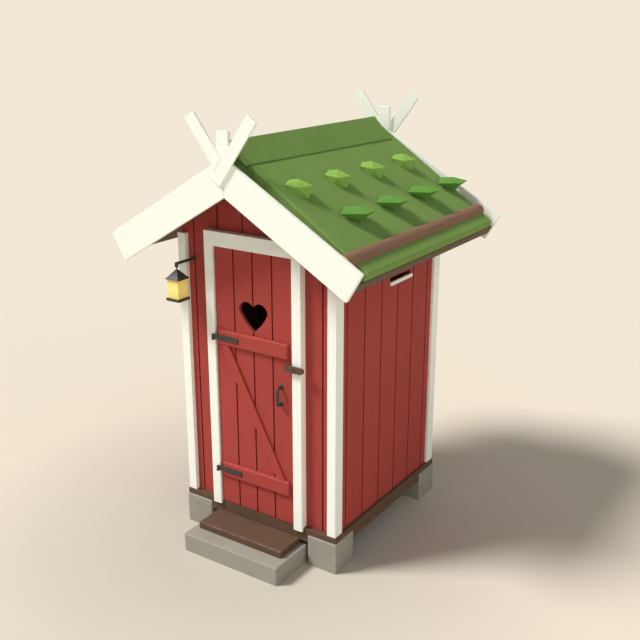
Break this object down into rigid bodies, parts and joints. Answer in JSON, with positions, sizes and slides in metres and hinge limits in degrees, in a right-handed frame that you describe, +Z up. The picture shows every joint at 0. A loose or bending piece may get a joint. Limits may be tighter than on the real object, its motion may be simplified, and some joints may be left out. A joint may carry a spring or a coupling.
{
  "type": "wooden outhouse",
  "caption": "Small red timber outhouse with white trim, a ledged door with a heart cut-out, strap hinges and turn button, a hanging lantern, stone feet and a gabled turf roof.",
  "frame": {"origin": "on the ground, under the middle of the whole outline", "axes": "+Z up, door faces -Y, +X to the right when facing the door"},
  "size_m": [1.9176, 1.989, 2.9765],
  "materials": {
    "stone": "rough grey-brown fieldstone",
    "brown_wood": "dark brown stained wood",
    "red_boards": "matte falu-red painted boards",
    "white_wood": "matte off-white painted wood",
    "bare_boards": "bare planed pine",
    "deck_boards": "brown weathered roof boards",
    "turf": "short grass on sod",
    "log": "peeled brown log with light sawn ends",
    "black_iron": "black painted wrought iron",
    "lantern_glass": "warm yellow frosted glass"
  },
  "bodies": {
    "house": {"foundation_stones": "stone", "sill_front": "brown_wood", "sill_rear": "brown_wood", "sills_side": "brown_wood", "step_stone": "stone", "step_tread": "brown_wood", "corner_posts": "white_wood", "front_wall_right": "red_boards", "front_wall_left": "red_boards", "front_gable": "red_boards", "rear_wall": "red_boards", "right_wall": "red_boards", "left_wall": "red_boards", "vent_slats": "white_wood", "floor_boards": "bare_boards", "threshold": "bare_boards", "door_stop": "red_boards", "door_casing_right": "white_wood", "door_casing_left": "white_wood", "door_casing_head": "white_wood", "roof_deck_right": "deck_boards", "roof_deck_left": "deck_boards", "turf_right": "turf", "turf_left": "turf", "eaves_logs": "log", "turf_ridge_cap": "turf", "turf_tufts": "turf", "bargeboards_right": "white_wood", "bargeboards_left": "white_wood", "gable_finials": "white_wood", "horns_right": "white_wood", "horns_left": "white_wood", "hinge_pintles": "black_iron", "turn_button_pin": "black_iron", "lantern_bracket": "black_iron"},
    "door": {"door_leaf": "red_boards", "door_battens": "red_boards", "door_brace": "red_boards", "strap_hinges": "black_iron", "door_handle": "black_iron"},
    "turn_button": {"turn_button": "brown_wood"},
    "lantern": {"lantern_hanger": "black_iron", "lantern_cap": "black_iron", "lantern_glass": "lantern_glass", "lantern_base": "black_iron"}
  },
  "joints": [
    {"name": "door_hinge", "type": "hinge", "parent": "house", "child": "door", "pos_m": [-0.312, -0.7045, 0.26], "axis": [0, 0, -1], "range_deg": [0, 95]},
    {"name": "turn_button_pivot", "type": "hinge", "parent": "house", "child": "turn_button", "pos_m": [0.3445, -0.704, 1.3935], "axis": [0, -1, 0], "range_deg": [0, 90]},
    {"name": "lantern_swing", "type": "hinge", "parent": "house", "child": "lantern", "pos_m": [-0.509, -0.8075, 1.96429], "axis": [1, 0, 0], "range_deg": [-20, 20]}
  ]
}
